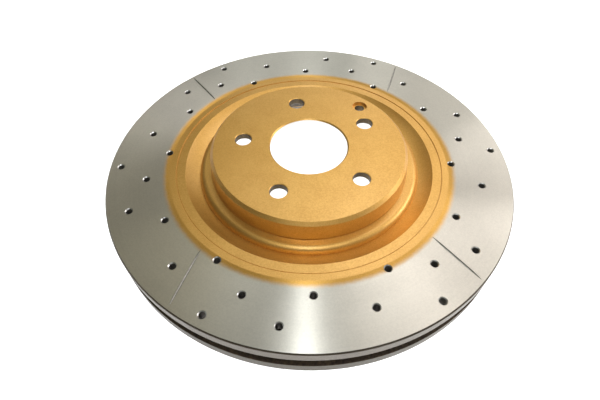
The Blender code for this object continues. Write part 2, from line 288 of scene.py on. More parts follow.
def spread(tree, value, low, high, out_low, out_high, smooth=False):
    """Map a range of values onto another, clamped at both ends."""
    kind = "SMOOTHSTEP" if smooth else "LINEAR"
    sockets = {0: value, 1: low, 2: high, 3: out_low, 4: out_high}
    return put(tree, "ShaderNodeMapRange", sockets, interpolation_type=kind).outputs[0]


def noise(tree, vector, scale, detail=2.0, roughness=0.5):
    """Soft noise from 0 to 1 on a vector, at so many waves per metre."""
    sockets = {"Vector": vector, "Scale": scale, "Detail": detail, "Roughness": roughness}
    return put(tree, "ShaderNodeTexNoise", sockets).outputs[0]


def blend(tree, share, first, second):
    """Mix two colours by a share from 0, all the first, to 1, all the second."""
    node = put(tree, "ShaderNodeMix", data_type="RGBA", clamp_factor=True)
    for socket, value in (("Factor_Float", share), ("A_Color", first), ("B_Color", second)):
        target = next(s for s in node.inputs if s.identifier == socket)
        if isinstance(value, bpy.types.NodeSocket):
            tree.links.new(value, target)
        else:
            target.default_value = value
    return next(s for s in node.outputs if s.identifier == "Result_Color")


def places(tree):
    """The piece's own coordinates, its distance from the axis and its height."""
    own = put(tree, "ShaderNodeTexCoord").outputs["Object"]
    split = put(tree, "ShaderNodeSeparateXYZ", {0: own})
    x, y, z = split.outputs
    squares = maths(tree, "ADD", maths(tree, "MULTIPLY", x, x), maths(tree, "MULTIPLY", y, y))
    return own, maths(tree, "SQRT", squares), z, x, y


def around(tree, radius, x, y, grooves, waves):
    """Coordinates that run round the axis: many steps along the radius, few round the turn."""
    across = maths(tree, "MULTIPLY", radius, grooves)
    cosine = maths(tree, "MULTIPLY", maths(tree, "DIVIDE", x, radius), waves)
    sine = maths(tree, "MULTIPLY", maths(tree, "DIVIDE", y, radius), waves)
    return put(tree, "ShaderNodeCombineXYZ", {0: across, 1: cosine, 2: sine}).outputs[0]


def relief(tree, height, depth):
    """Bump of a real depth in metres from a height between 0 and 1."""
    sockets = {"Strength": 1.0, "Distance": depth, "Height": height}
    return put(tree, "ShaderNodeBump", sockets).outputs[0]


print("finish helpers ready")

# %% [markdown]
# ### White paper
#
# Plain matt paper with the faintest cloudiness, lit past white.

# %% Make the paper
material, tree, shader = new_finish("white_paper")
own, radius, height, x, y = places(tree)
cloud = spread(tree, noise(tree, own, 6.0), 0.3, 0.7, 0.0, 1.0)
tree.links.new(blend(tree, cloud, (0.88, 0.88, 0.88, 1), (0.9, 0.9, 0.9, 1)),
               shader.inputs["Base Color"])
shader.inputs["Roughness"].default_value = 0.9
shader.inputs["Specular IOR Level"].default_value = 0.1
floor_mesh.materials.append(material)
print("made", material.name)

# %% [markdown]
# ### Gold coating
#
# The coating is a sprayed paint full of fine metal flakes. Flakes lie nearly flat but not quite,
# so the surface reflects like rough metal, with a speckle of lighter and darker grains and a very
# fine orange-peel relief. A thin clear gloss lies over the flakes and whitens the highlights. Where
# two coated faces look at each other the colour deepens to orange by itself, because each
# reflection takes the gold tint once more.

# %% Make the gold coating
GOLD = (0.78, 0.450, 0.114, 1.0)
GOLD_DARK = (0.64, 0.345, 0.075, 1.0)
FLAKE_WAVES = 900.0
SPRAY_CLOUD_WAVES = 45.0
PEEL_DEPTH = 0.03 * MM
GOLD_METALLIC = 0.88
GLOSS = 0.5
GLOSS_ROUGHNESS = 0.25
GOLD_ROUGHNESS = 0.44


def gold_colour(tree, own):
    """The coating's colour: a flake speckle over a faint cloudiness left by the spray gun."""
    flakes = spread(tree, noise(tree, own, FLAKE_WAVES, 3.0, 0.7), 0.36, 0.64, 0.0, 0.7)
    clouds = spread(tree, noise(tree, own, SPRAY_CLOUD_WAVES, 3.0), 0.35, 0.65, 0.0, 0.3)
    return blend(tree, maths(tree, "ADD", flakes, clouds), GOLD, GOLD_DARK)


gold_coating, tree, shader = new_finish("gold_coating")
own, radius, height, x, y = places(tree)
tree.links.new(gold_colour(tree, own), shader.inputs["Base Color"])
peel = noise(tree, own, FLAKE_WAVES, 2.0)
tree.links.new(spread(tree, peel, 0.3, 0.7, GOLD_ROUGHNESS - 0.04, GOLD_ROUGHNESS + 0.05),
               shader.inputs["Roughness"])
tree.links.new(relief(tree, peel, PEEL_DEPTH), shader.inputs["Normal"])
shader.inputs["Metallic"].default_value = GOLD_METALLIC
shader.inputs["Coat Weight"].default_value = GLOSS
shader.inputs["Coat Roughness"].default_value = GLOSS_ROUGHNESS
print("made", gold_coating.name)

# %% [markdown]
# ### Circular-turned iron
#
# A lathe leaves thousands of fine grooves round the axis. Light then spreads across the grooves
# but not along them, which draws a bright wedge on the face. The shader's anisotropy does this
# with a tangent that runs round the axis: at a point (x, y) it is (-y, x, 0). Fine rings by radius
# and an even grain make the visible texture, and soft patches stand for handling marks. Round the
# hat the gold spray ends in a fuzzy edge: its share is a smooth step of the radius, whose place
# wanders with noise.

# %% Make the turned iron
IRON = (0.62, 0.580, 0.510, 1.0)
IRON_DARK = (0.52, 0.487, 0.430, 1.0)
IRON_ROUGHNESS = 0.30
IRON_ANISOTROPY = 0.98
ACROSS_THE_GROOVES = 0.25
SPRAY_EDGE = 122.9 * MM
SPRAY_FUZZ = 2.6 * MM
SPRAY_WANDER = 2.2 * MM
RING_WAVES = 1100.0
BAND_WAVES = 160.0
GRAIN_WAVES = 850.0
PATCH_WAVES = 22.0
WANDER_WAVES = 260.0


def turned_iron(name, sprayed):
    """Iron with circular turning marks; where it is sprayed, gold covers the inner part."""
    material, tree, shader = new_finish(name)
    own, radius, height, x, y = places(tree)
    rings = noise(tree, around(tree, radius, x, y, RING_WAVES, 2.5), 1.0, 3.0, 0.6)
    grain = noise(tree, own, GRAIN_WAVES, 3.0, 0.7)
    bands = noise(tree, around(tree, radius, x, y, BAND_WAVES, 1.2), 1.0, 2.0)
    patches = noise(tree, own, PATCH_WAVES, 4.0, 0.6)
    marks = maths(tree, "ADD", spread(tree, rings, 0.3, 0.7, 0.0, 0.22),
                  spread(tree, grain, 0.36, 0.64, -0.15, 0.38))
    tone = maths(tree, "ADD", marks, spread(tree, patches, 0.42, 0.75, 0.0, 0.5))
    colour = blend(tree, tone, IRON, IRON_DARK)
    rough = maths(tree, "ADD", spread(tree, bands, 0.3, 0.7, -0.006, 0.006), IRON_ROUGHNESS)
    metallic = 1.0
    if sprayed:
        drift = maths(tree, "SUBTRACT", noise(tree, own, WANDER_WAVES, 4.0, 0.7), 0.5)
        wander = maths(tree, "MULTIPLY", drift, SPRAY_WANDER)
        edge = maths(tree, "ADD", radius, wander)
        gold = spread(tree, edge, SPRAY_EDGE - SPRAY_FUZZ, SPRAY_EDGE + SPRAY_FUZZ, 1.0, 0.0, True)
        colour = blend(tree, gold, colour, gold_colour(tree, own))
        duller = maths(tree, "MULTIPLY", gold, GOLD_ROUGHNESS - IRON_ROUGHNESS)
        rough = maths(tree, "ADD", rough, duller)
        metallic = spread(tree, gold, 0.0, 1.0, 1.0, GOLD_METALLIC)
    tree.links.new(colour, shader.inputs["Base Color"])
    tree.links.new(rough, shader.inputs["Roughness"])
    if sprayed:
        tree.links.new(metallic, shader.inputs["Metallic"])
    else:
        shader.inputs["Metallic"].default_value = metallic
    shader.inputs["Anisotropic"].default_value = IRON_ANISOTROPY
    shader.inputs["Anisotropic Rotation"].default_value = ACROSS_THE_GROOVES
    along = put(tree, "ShaderNodeCombineXYZ", {0: maths(tree, "MULTIPLY", y, -1.0), 1: x, 2: 0.0})
    tree.links.new(along.outputs[0], shader.inputs["Tangent"])
    return material


turned_face = turned_iron("turned_face", True)
turned_seat = turned_iron("turned_seat", False)
print("made", turned_face.name, "and", turned_seat.name)

# %% [markdown]
# ### Plate edges, drilled walls and raw casting
#
# The rims of the two plates are turned more coarsely and have tarnished to a brownish grey. The
# lower rim's tones are darker still, as painted shade for the shadowed paper that it reflects.
# Inside the drilled holes the iron is darker. The bolt holes' walls carry a brown tint of drifted
# spray and are painted much darker, as painted shade inside the holes. The surfaces that no tool
# touches keep the grain of the sand mould: dark brown, dull and lumpy. Each finish below is a light
# tone, a dark tone, a roughness, a share of metal, the waves of its grain per metre and the depth
# of its relief.

# %% Make the plain iron finishes
def dull_iron(name, light, dark, roughness, metallic, grain, depth):
    """Untreated iron: two tones mixed by a grain of so many waves per metre, with its relief."""
    material, tree, shader = new_finish(name)
    own, radius, height, x, y = places(tree)
    fine = noise(tree, own, grain, 4.0, 0.65)
    broad = noise(tree, own, grain / 12.0, 3.0)
    tone = maths(tree, "ADD", spread(tree, fine, 0.3, 0.7, 0.0, 0.7),
                 spread(tree, broad, 0.35, 0.65, 0.0, 0.3))
    tree.links.new(blend(tree, tone, light, dark), shader.inputs["Base Color"])
    tree.links.new(spread(tree, fine, 0.2, 0.8, roughness - 0.07, roughness + 0.07),
                   shader.inputs["Roughness"])
    tree.links.new(relief(tree, fine, depth), shader.inputs["Normal"])
    shader.inputs["Metallic"].default_value = metallic
    return material


turned_edge = dull_iron(
    "turned_edge", (0.125, 0.104, 0.080, 1), (0.085, 0.07, 0.054, 1), 0.42, 1.0, 900.0, 0.01 * MM)
# The lower rim: the same tarnished iron as the upper one, painted darker as painted shade.
shaded_lower_edge = dull_iron(
    "shaded_lower_edge", (0.088, 0.075, 0.053, 1), (0.06, 0.05, 0.036, 1), 0.45, 1.0, 900.0, 0.01 * MM)
drilled_wall = dull_iron(
    "drilled_wall", (0.42, 0.40, 0.36, 1), (0.24, 0.22, 0.20, 1), 0.45, 0.9, 700.0, 0.03 * MM)
# Bolt-hole walls: a brown tint of drifted spray, painted much darker as painted shade.
sprayed_and_shaded_wall = dull_iron(
    "sprayed_and_shaded_wall", (0.15, 0.115, 0.07, 1), (0.08, 0.06, 0.035, 1), 0.5, 0.7, 700.0, 0.03 * MM)
fresh_cut = dull_iron(
    "fresh_cut", (0.72, 0.71, 0.68, 1), (0.60, 0.59, 0.56, 1), 0.32, 1.0, 500.0, 0.003 * MM)
slot_cut = dull_iron(
    "slot_cut", (0.50, 0.48, 0.44, 1), (0.30, 0.285, 0.26, 1), 0.4, 1.0, 500.0, 0.01 * MM)
bore_wall = dull_iron(
    "bore_wall", (0.75, 0.74, 0.72, 1), (0.62, 0.61, 0.60, 1), 0.2, 1.0, 600.0, 0.003 * MM)
sand_cast = dull_iron(
    "sand_cast", (0.10, 0.065, 0.035, 1), (0.018, 0.012, 0.008, 1), 0.75, 0.3, 420.0, 0.5 * MM)
bell_cast = dull_iron(
    "bell_cast", (0.22, 0.20, 0.17, 1), (0.12, 0.11, 0.10, 1), 0.65, 0.5, 420.0, 0.4 * MM)
print("made", turned_edge.name, shaded_lower_edge.name, drilled_wall.name, sprayed_and_shaded_wall.name)
print("made", fresh_cut.name, slot_cut.name, bore_wall.name, sand_cast.name, bell_cast.name)

# %% [markdown]
# ## Turned surfaces
#
# A turned piece needs only the outline of its cut half. The outline is written as corners, each
# with the radius of its edge, because a real edge is never perfectly sharp and it is the small
# round that catches the light. The corners become arcs, and the whole outline is then carried
# round the axis on a grid: one line of points for every step of the turn.

# %% Outline and grid helpers
ROUND_STEPS = 360
EDGE_STEPS = 5


def rounded(corners, steps=EDGE_STEPS):
    """A closed outline from corners (radius, height, edge). Each edge becomes the arc that touches
    both sides: its centre lies on the corner's bisector, at edge / sin(half the corner angle), and
    its points swing from one touching point to the other by equal angles."""
    points = []
    places_only = np.array([(r, z) for r, z, edge in corners])
    for index, (r, z, edge) in enumerate(corners):
        here = places_only[index]
        if edge == 0.0:
            points.append(here[None])
            continue
        back = places_only[index - 1] - here
        ahead = places_only[(index + 1) % len(corners)] - here
        back = back / np.linalg.norm(back)
        ahead = ahead / np.linalg.norm(ahead)
        half = math.acos(float(np.clip(back @ ahead, -1.0, 1.0))) / 2.0
        bisector = (back + ahead) / np.linalg.norm(back + ahead)
        centre = here + bisector * edge / math.sin(half)
        start = here + back * edge / math.tan(half) - centre
        end = here + ahead * edge / math.tan(half) - centre
        swing = math.pi - 2.0 * half
        share = np.linspace(0.0, 1.0, steps + 1)[:, None]
        arc = (start * np.sin((1 - share) * swing) + end * np.sin(share * swing)) / math.sin(swing)
        points.append(centre + arc)
    return np.concatenate(points)


def arc_points(centre_r, centre_z, radius, start, end, steps):
    """Corners without an edge radius along an arc, from one angle in degrees to another."""
    angle = np.radians(np.linspace(start, end, steps + 1))
    return [(centre_r + radius * c, centre_z + radius * s, 0.0)
            for c, s in zip(np.cos(angle), np.sin(angle))]


def grid_faces(rows, columns, wrap_rows, wrap_columns):
    """Quads between neighbouring points of a grid; a wrapped side joins its end to its start."""
    row = np.arange(rows if wrap_rows else rows - 1)
    column = np.arange(columns if wrap_columns else columns - 1)
    row, column = np.meshgrid(row, column, indexing="ij")
    next_row = (row + 1) % rows
    next_column = (column + 1) % columns
    corners = [row * columns + column, row * columns + next_column,
               next_row * columns + next_column, next_row * columns + column]
    return np.stack(corners, axis=-1).reshape(-1, 4)


def add_piece(name, points, faces, finishes, finish_of_face=None):
    """Put points and faces into a new object that wears the given finishes."""
    mesh = bpy.data.meshes.new(name)
    mesh.from_pydata(points.tolist(), [], faces)
    for finish in finishes:
        mesh.materials.append(finish)
    if finish_of_face is not None:
        mesh.polygons.foreach_set("material_index", np.asarray(finish_of_face, np.int32))
    item = bpy.data.objects.new(name, mesh)
    scene.collection.objects.link(item)
    return item


def turned(name, outline, finishes, choose):
    """An outline of (radius, height) points carried round the axis: x = radius cos(turn),
    y = radius sin(turn), z = height. choose(radius, height) picks the finish of each strip by
    the place of its middle. The outline is first put clockwise, so that faces look outwards."""
    ahead = np.roll(outline, -1, axis=0)
    area = np.sum(outline[:, 0] * ahead[:, 1] - ahead[:, 0] * outline[:, 1])
    if area > 0:
        outline = outline[::-1]
    middle = (outline + np.roll(outline, -1, axis=0)) / 2
    turn = np.arange(ROUND_STEPS) * math.tau / ROUND_STEPS
    x = np.outer(np.cos(turn), outline[:, 0])
    y = np.outer(np.sin(turn), outline[:, 0])
    z = np.broadcast_to(outline[:, 1], x.shape)
    points = np.stack([x, y, z], axis=-1).reshape(-1, 3)
    faces = grid_faces(ROUND_STEPS, len(outline), True, True)
    strips = choose(middle[:, 0], middle[:, 1])
    return add_piece(name, points, faces.tolist(), finishes, np.tile(strips, ROUND_STEPS))


print("outline helpers ready")

# %% [markdown]
# ## Cutting and finishing a piece
#
# Holes and slots are cut with a Boolean. Every cutter is again a grid: for a drill, a short
# outline carried round the hole's own centre, and for a slot, a round-bottomed section that
# narrows to a point at both ends. After the cut, curved faces are shaded smooth, true edges stay
# sharp, and weighted normals keep the large flat faces perfectly flat next to their round edges.

# %% Cutting helpers
DRILL_SIDES = 40
LEVEL = 0.99999


def on_circle(radius, degrees):
    """The point at a radius and an angle about the axis."""
    turn = np.radians(degrees)
    return np.stack([radius * np.cos(turn), radius * np.sin(turn)], axis=-1)


def drill_cutter(name, centres, outline, strips):
    """Drills at all the centres at once: each drill is an outline of (radius, height) points, low
    to high, carried round its centre, with a flat cap at both ends. strips gives the finish of
    each band of the drill."""
    outline = np.asarray(outline)
    centres = np.asarray(centres).reshape(-1, 2)
    turn = np.arange(DRILL_SIDES) * math.tau / DRILL_SIDES
    ring = np.stack([np.cos(turn), np.sin(turn)], axis=-1)
    flat = centres[:, None, None] + outline[None, :, 0, None, None] * ring[None, None]
    high = np.broadcast_to(outline[None, :, 1, None, None], (*flat.shape[:3], 1))
    points = np.concatenate([flat, high], axis=-1).reshape(-1, 3)
    levels = len(outline)
    walls = grid_faces(levels, DRILL_SIDES, False, True)
    shift = np.arange(len(centres))[:, None, None] * levels * DRILL_SIDES
    faces = (walls[None] + shift).reshape(-1, 4).tolist()
    bottom = np.arange(DRILL_SIDES)[::-1]
    top = np.arange(DRILL_SIDES) + (levels - 1) * DRILL_SIDES
    faces += (bottom[None] + shift[:, 0]).tolist() + (top[None] + shift[:, 0]).tolist()
    wall_strips = np.tile(np.repeat(strips, DRILL_SIDES), len(centres))
    finish = np.concatenate([wall_strips, np.full(2 * len(centres), strips[0])])
    return add_piece(name, points, faces, [], finish)


def cut(piece, cutter):
    """Take the cutter's space out of a piece for good, and remove the cutter."""
    boolean = piece.modifiers.new("cut", "BOOLEAN")
    boolean.operation = "DIFFERENCE"
    boolean.solver = "EXACT"
    boolean.material_mode = "INDEX"
    boolean.object = cutter
    bpy.context.view_layer.update()
    shape = piece.evaluated_get(bpy.context.evaluated_depsgraph_get())
    mesh = bpy.data.meshes.new_from_object(shape)
    piece.modifiers.clear()
    old = piece.data
    piece.data = mesh
    mesh.name = piece.name
    bpy.data.meshes.remove(old)
    bpy.data.meshes.remove(cutter.data)


def finish_piece(piece, node, sharp_from=28.0):
    """Shade a piece, hang it under the root body and hide the frame's node that it replaces.
    Level faces are shaded flat, because the turned face shows the slightest tilt of a normal."""
    piece.data.shade_smooth()
    piece.data.set_sharp_from_angle(angle=math.radians(sharp_from))
    for face in piece.data.polygons:
        if abs(face.normal.z) > LEVEL:
            face.use_smooth = False
    weighted = piece.modifiers.new("weighted_normals", "WEIGHTED_NORMAL")
    weighted.keep_sharp = True
    weighted.weight = 100
    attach(piece, "root")
    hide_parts(node)
    print(f"{piece.name}: {len(piece.data.vertices)} points, {len(piece.data.polygons)} faces")


print("cutting helpers ready")

# %% [markdown]
# ## The mounting flange
#
# The flat top of the hat is a thick plate with a turned chamfer round it. It has the centre bore,
# five wheel-bolt holes with a small chamfer above and a larger one below, and beside one of them
# the counterbored hole of the retaining screw. Outline first, then the holes: the order a
# machinist would follow.

# %% Make the flange
HAT_CHAMFER = 2.6 * MM
BORE_CHAMFER = 1.0 * MM
SOFT_EDGE = 0.25 * MM
FINE_EDGE = 0.12 * MM
SEAT_RELIEF = 1.3 * MM
WALL_JOINT = (WALL_TOP + HUB_SEAT + SEAT_RELIEF) / 2.0
LINE_HEIGHT = FACE_HEIGHT - 1.0 * MM
GOLDEN, SEATED, BRIGHT, DRILLED = range(4)


def flared(z):
    """Radius of the hat's wall at a height: it widens evenly from under the chamfer to its foot."""
    share = (HAT_TOP - HAT_CHAMFER - z) / (HAT_TOP - HAT_CHAMFER - LINE_HEIGHT)
    return HAT_RADIUS + (FOOT_RADIUS - HAT_RADIUS) * share


flange_outline = rounded([
    (BORE_RADIUS + BORE_CHAMFER, HAT_TOP, FINE_EDGE),
    (HAT_RADIUS - HAT_CHAMFER, HAT_TOP, SOFT_EDGE),
    (HAT_RADIUS, HAT_TOP - HAT_CHAMFER, SOFT_EDGE),
    (flared(WALL_JOINT), WALL_JOINT, 0.0),
    (HAT_INNER_RADIUS, WALL_JOINT, 0.0),
    (HAT_INNER_RADIUS, HUB_SEAT, 0.0),
    (BORE_RADIUS + BORE_CHAMFER, HUB_SEAT, FINE_EDGE),
    (BORE_RADIUS, HUB_SEAT + BORE_CHAMFER, FINE_EDGE),
    (BORE_RADIUS, HAT_TOP - BORE_CHAMFER, FINE_EDGE),
])


def flange_finish(r, z):
    """Gold outside, turned iron on the hub seat, bright iron in the bore."""
    in_bore = (r < BORE_RADIUS + 0.3 * MM) & (z < HAT_TOP - BORE_CHAMFER)
    return np.select([in_bore, z < HUB_SEAT + BORE_CHAMFER], [BRIGHT, SEATED], GOLDEN)


# The last finish, on the bolt holes' walls, holds painted shade as well as the spray's tint.
flange_finishes = [gold_coating, turned_seat, bore_wall, sprayed_and_shaded_wall]
flange = turned("flange_casting", flange_outline, flange_finishes, flange_finish)

# %% Drill the flange
BOLT_COUNT = 5
BOLT_CIRCLE = 56.0 * MM
BOLT_HOLE = 7.0 * MM
BOLT_CHAMFER = 0.5 * MM
BOLT_RELIEF = 2.0 * MM
BOLT_ANGLE = 30.2
SCREW_CIRCLE = 68.9 * MM
SCREW_ANGLE = 48.4
SCREW_HOLE = 4.25 * MM
SCREW_HEAD = 6.5 * MM
SCREW_SINK = 2.5 * MM
PAST = 1.0 * MM

bolts = on_circle(BOLT_CIRCLE, BOLT_ANGLE + np.arange(BOLT_COUNT) * 360.0 / BOLT_COUNT)
bolt_drill = [
    (BOLT_HOLE + BOLT_RELIEF + PAST, HUB_SEAT - PAST),
    (BOLT_HOLE, HUB_SEAT + BOLT_RELIEF),
    (BOLT_HOLE, HAT_TOP - BOLT_CHAMFER),
    (BOLT_HOLE + BOLT_CHAMFER + PAST, HAT_TOP + PAST),
]
screw_drill = [
    (SCREW_HOLE, HUB_SEAT - PAST),
    (SCREW_HOLE, HAT_TOP - SCREW_SINK),
    (SCREW_HEAD, HAT_TOP - SCREW_SINK),
    (SCREW_HEAD, HAT_TOP + PAST),
]
screw = on_circle(SCREW_CIRCLE, SCREW_ANGLE)
cut(flange, drill_cutter("bolt_drill", bolts, bolt_drill, [DRILLED, DRILLED, GOLDEN]))
cut(flange, drill_cutter("screw_drill", screw, screw_drill, [DRILLED, GOLDEN, GOLDEN]))
finish_piece(flange, "mounting_flange")

# %% [markdown]
# ## The hat wall and the neck
#
# Under the flange the hat's wall widens a little towards its foot, where the tool left a fine
# undercut line. From there a level shelf runs out to the fat rounded bead: a quarter of a circle,
# level where it starts and upright at its rim.

# %% Make the hat wall
RAW = 1

wall_outline = rounded([
    (flared(WALL_JOINT), WALL_JOINT, 0.0),
    (flared(WALL_FOOT), WALL_FOOT, 0.0),
    (HAT_INNER_RADIUS, WALL_FOOT, 0.0),
    (HAT_INNER_RADIUS, WALL_JOINT, 0.0),
])


def gold_outside(r, z):
    """Gold on the outer side of the wall, raw casting inside."""
    return np.where(r > HAT_INNER_RADIUS + 0.1 * MM, GOLDEN, RAW)


wall = turned("hat_side", wall_outline, [gold_coating, bell_cast], gold_outside)
finish_piece(wall, "hat_wall")

# %% Make the neck
BEAD_DROP = 6.0 * MM
BELL_FLARE = 10.0 * MM
LINE_DEEP = 0.6 * MM
LINE_HIGH = 0.3 * MM
BEAD_TOP = LINE_HEIGHT
TROUGH_FOOT = 23.4 * MM

bead_turn = np.linspace(0.0, math.pi / 2, 33)
bead_height = FACE_HEIGHT - BEAD_DROP
bead_radius = BEAD_TOP - bead_height
bead_r = BEAD_RIM - bead_radius + bead_radius * np.sin(bead_turn)
bead_z = bead_height + bead_radius * np.cos(bead_turn)
neck_corners = [
    (HAT_INNER_RADIUS, WALL_FOOT, 0.0),
    (flared(WALL_FOOT), WALL_FOOT, 0.0),
    (FOOT_RADIUS, LINE_HEIGHT + 2 * LINE_HIGH, 0.1 * MM),
    (FOOT_RADIUS - LINE_DEEP, LINE_HEIGHT + LINE_HIGH, 0.0),
    (FOOT_RADIUS - LINE_DEEP, BEAD_TOP, 0.0),
]
neck_corners += [(r, z, 0.0) for r, z in zip(bead_r, bead_z)]
neck_corners += [
    (BEAD_RIM, TROUGH_FOOT, 0.0),
    (BEAD_RIM, NECK_FOOT, 0.0),
    (HAT_INNER_RADIUS + BELL_FLARE, NECK_FOOT, 0.4 * MM),
    (HAT_INNER_RADIUS, NECK_FOOT + BELL_FLARE, 1.5 * MM),
]


def neck_finish(r, z):
    """Gold where the spray reaches, raw casting inside the bell and underneath."""
    inside = (r < HAT_INNER_RADIUS + BELL_FLARE) & (z < bead_height)
    bell = r < HAT_INNER_RADIUS + 0.1 * MM
    under = z < NECK_FOOT + 1 * MM
    return np.where(inside | bell | under, RAW, GOLDEN)


neck = turned("neck_casting", rounded(neck_corners), [gold_coating, bell_cast], neck_finish)
finish_piece(neck, "neck")

# %% [markdown]
# ## The trough
#
# Between the bead and the friction ring the casting dips into a shallow trough. Its section is one
# bowed line from the foot of the bead up to the edge of the ring: an arc that leaves the straight
# line between its ends by the same small angle at both.

# %% Make the trough
TROUGH_BEND = 8.0
TROUGH_STEPS = 40
UNDER_SLOPE = 0.3
STEP_HEIGHT = 0.4 * MM
band_height = FACE_HEIGHT - STEP_HEIGHT


def bowed(start, end, bend, steps):
    """Corners along an arc that sags below the line from start to end. Its radius is half that
    line over the sine of the bend, and it swings by twice the bend."""
    run = np.array(end) - np.array(start)
    lean = math.degrees(math.atan2(run[1], run[0]))
    arc_radius = np.linalg.norm(run) / (2 * math.sin(math.radians(bend)))
    first = math.radians(lean - bend - 90.0)
    centre = np.array(start) - arc_radius * np.array([math.cos(first), math.sin(first)])
    return arc_points(*centre, arc_radius, lean - bend - 90.0, lean + bend - 90.0, steps)


trough_lip = (RING_INNER_RADIUS, band_height)
trough_arc = bowed((BEAD_RIM, TROUGH_FOOT), trough_lip, TROUGH_BEND, TROUGH_STEPS)
joint_row = next(index for index, place in enumerate(trough_arc) if place[0] > TROUGH_REACH)
trough_corners = trough_arc[:joint_row + 1]
trough_corners += [
    (trough_corners[-1][0], OUTBOARD_UNDERSIDE, 0.0),
    (BEAD_RIM, NECK_FOOT, 0.0),
]


def trough_finish(r, z):
    """Gold above, raw casting below."""
    straight = OUTBOARD_UNDERSIDE + (r - TROUGH_REACH) * UNDER_SLOPE
    return np.where(z > np.maximum(straight, NECK_FOOT) + 2 * MM, GOLDEN, RAW)


trough = turned("trough_casting", rounded(trough_corners), [gold_coating, sand_cast], trough_finish)
finish_piece(trough, "trough")

# %% [markdown]
# ## The friction rings
#
# The outboard ring is the one that shows. From the trough's edge a gold band runs to a fine step,
# where the face that the pads sweep stands 0.4 mm proud. The pattern of drilled holes repeats in
# six sectors, one hole in each of six rows, and the rows are evenly spaced outwards. Four shallow
# slots cross the face. The inboard ring is its plain twin.

# %% Make the outboard ring
STEP_RADIUS = RING_INNER_RADIUS + 7.7 * MM
LINE_WIDTH = 0.6 * MM
LINE_DEPTH = 0.35 * MM
RIM_CHAMFER = 1.0 * MM
BAND_END = 118.6 * MM
FACED, RIM, CAST, HOLE, CHAMFERED, SLOTTED = range(1, 7)

outboard_corners = [(trough_arc[joint_row][0], OUTBOARD_UNDERSIDE, 0.0)]
outboard_corners += trough_arc[joint_row:-1]
outboard_corners += [
    (RING_INNER_RADIUS, band_height, 0.12 * MM),
    (STEP_RADIUS - LINE_WIDTH, band_height, 0.06 * MM),
    (STEP_RADIUS - 0.7 * LINE_WIDTH, band_height - LINE_DEPTH, 0.06 * MM),
    (STEP_RADIUS, band_height - LINE_DEPTH, 0.06 * MM),
    (STEP_RADIUS, FACE_HEIGHT, 0.12 * MM),
    (BAND_END, FACE_HEIGHT, 0.0),
    (DISC_RADIUS - RIM_CHAMFER, FACE_HEIGHT, FINE_EDGE),
    (DISC_RADIUS, FACE_HEIGHT - RIM_CHAMFER, SOFT_EDGE),
    (DISC_RADIUS, OUTBOARD_UNDERSIDE, 0.5 * MM),
]


def outboard_finish(r, z):
    """Gold on the band, turned iron on the swept face, tarnish on the rim, raw casting below."""
    under = z < OUTBOARD_UNDERSIDE + 0.02 * MM
    rim = r > DISC_RADIUS - RIM_CHAMFER / 2
    chamfer = r > DISC_RADIUS - RIM_CHAMFER + 0.05 * MM
    return np.select([under, rim | chamfer, r > BAND_END], [CAST, RIM, FACED], GOLDEN)


ring_finishes = [gold_coating, turned_face, turned_edge, sand_cast, drilled_wall, fresh_cut,
                 slot_cut]
outboard = turned("outboard_ring", rounded(outboard_corners), ring_finishes, outboard_finish)
print("outboard ring turned")

# %% Drill both rings
SECTORS = 6
ROW_ANGLES = np.array([58.1, 32.1, 11.4, 48.8, 23.5, 4.8])
FIRST_ROW = 122.0 * MM
LAST_ROW = 160.4 * MM
DRILL_RADIUS = 2.5 * MM
DRILL_CHAMFER = 0.70 * MM

row_radii = np.linspace(FIRST_ROW, LAST_ROW, len(ROW_ANGLES))
sector_turns = np.arange(SECTORS) * 360.0 / SECTORS
drill_centres = on_circle(row_radii[None], ROW_ANGLES[None] + sector_turns[:, None])
top_drill = [
    (DRILL_RADIUS, OUTBOARD_UNDERSIDE - PAST),
    (DRILL_RADIUS, FACE_HEIGHT - DRILL_CHAMFER),
    (DRILL_RADIUS + DRILL_CHAMFER + PAST, FACE_HEIGHT + PAST),
]
low_drill = [
    (DRILL_RADIUS + DRILL_CHAMFER + PAST, -PAST),
    (DRILL_RADIUS, DRILL_CHAMFER),
    (DRILL_RADIUS, INBOARD_TOP + PAST),
]
cut(outboard, drill_cutter("top_drill", drill_centres, top_drill, [HOLE, CHAMFERED]))
print(drill_centres.size // 2, "holes drilled")

# %% Cut the slots
SLOT_ENDS = ((50.7, 56.8), (139.4, 136.5))
SLOT_START = 122.5 * MM
SLOT_FINISH = 167.0 * MM
SLOT_HALF_WIDTH = 0.9 * MM
SLOT_DEPTH = 0.9 * MM
SLOT_STATIONS = 31
SLOT_ARC = 9
SLOT_POINT_SHARPNESS = 5.0
SLOT_TIP = 0.02


